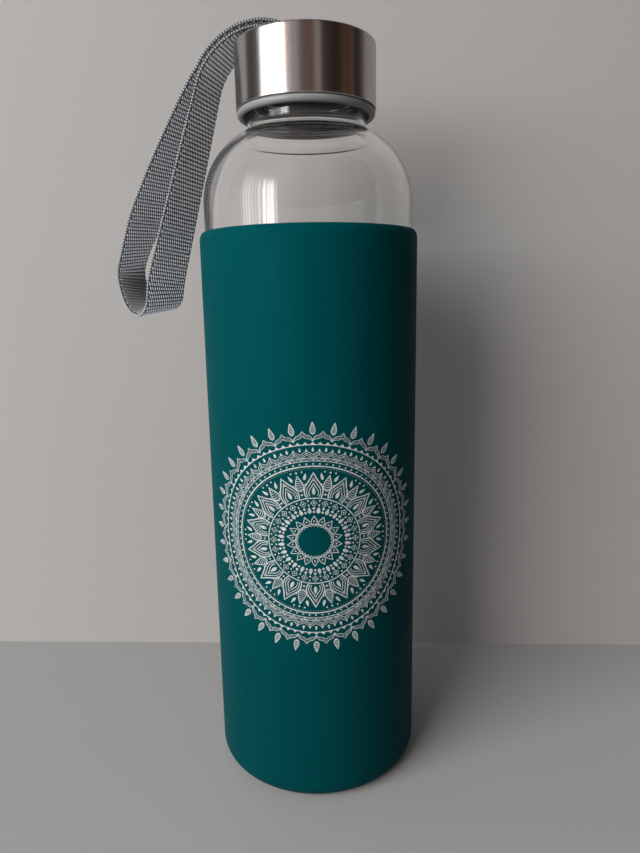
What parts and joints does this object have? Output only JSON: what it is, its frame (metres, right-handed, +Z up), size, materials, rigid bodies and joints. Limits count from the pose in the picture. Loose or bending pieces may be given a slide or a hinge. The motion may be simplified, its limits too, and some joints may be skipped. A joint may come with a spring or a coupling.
{
  "type": "water bottle",
  "caption": "Glass water bottle in a silicone sleeve, with a steel screw cap and a webbing carry loop.",
  "frame": {"origin": "centre of the sleeve's flat underside, which the bottle stands on", "axes": "+Z up along the bottle's axis, the print faces -Y, and the strap falls to the -X side"},
  "size_m": [0.0993, 0.067, 0.2345],
  "materials": {
    "sleeve_silicone": "matte",
    "clear_glass": "clear, polished",
    "seal_silicone": "matte",
    "insert_plastic": "satin",
    "brushed_steel": "brushed",
    "webbing": "woven",
    "pin_steel": "satin"
  },
  "bodies": {
    "sleeve": {"silicone_sleeve": "sleeve_silicone"},
    "bottle": {"glass_bottle": "clear_glass"},
    "seal": {"seal_ring": "seal_silicone"},
    "cap": {"cap_insert": "insert_plastic", "cap_shell": "brushed_steel", "strap_tail": "webbing", "strap_pin": "pin_steel"},
    "strap": {"strap_loop": "webbing"}
  },
  "joints": [
    {"name": "bottle_lift", "type": "slide", "parent": "sleeve", "child": "bottle", "axis": [0, 0, 1], "range_m": [0, 0.18]},
    {"name": "cap_lift", "type": "slide", "parent": "bottle", "child": "seal", "axis": [0, 0, 1], "range_m": [0, 0.016]},
    {"name": "cap_turn", "type": "hinge", "parent": "seal", "child": "cap", "pos_m": [0, 0, 0.2155], "axis": [0, 0, 1], "range_deg": [0, 1440]},
    {"name": "strap_swing", "type": "hinge", "parent": "cap", "child": "strap", "pos_m": [0, 0, 0.2284], "axis": [0.2672, 0.9636, 0], "range_deg": [0, 100]}
  ],
  "couplings": [
    {"joint": "cap_lift", "follows": "cap_turn", "m_per_rad": 0.00063662}
  ]
}
